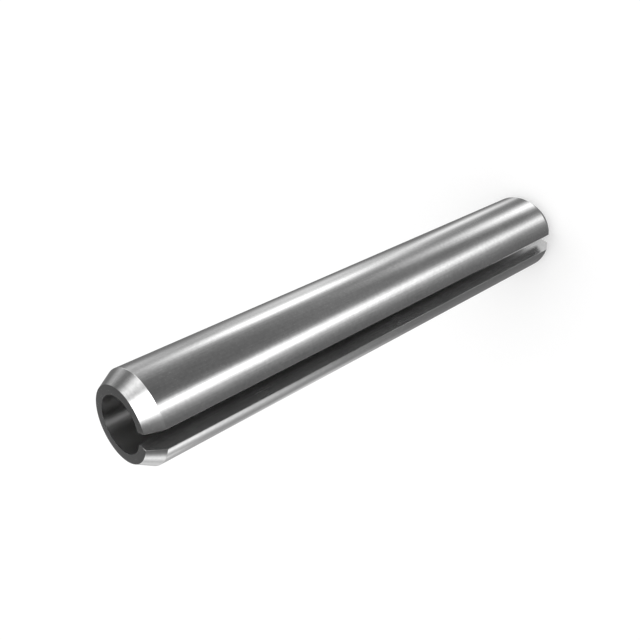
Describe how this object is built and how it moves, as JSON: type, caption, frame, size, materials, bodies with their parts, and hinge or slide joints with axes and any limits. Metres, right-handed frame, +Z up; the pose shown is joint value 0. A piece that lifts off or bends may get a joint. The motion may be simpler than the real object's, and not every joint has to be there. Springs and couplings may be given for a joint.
{
  "type": "slotted spring pin",
  "caption": "Slotted spring pin: a steel strip rolled into a thick C-section tube with chamfered ends, driven into a hole to pin parts together.",
  "frame": {"origin": "on the pin's axis, at the lower end face that the pin stands on", "axes": "+Z up along the pin's axis, -Y out through the middle of the slot"},
  "size_m": [0.0128, 0.0126, 0.085],
  "materials": {
    "spring_steel": "bright drawn spring steel, faint marks along the length, darker turned end faces and bore"
  },
  "bodies": {
    "root": {"slotted_sleeve": "spring_steel"}
  },
  "joints": []
}
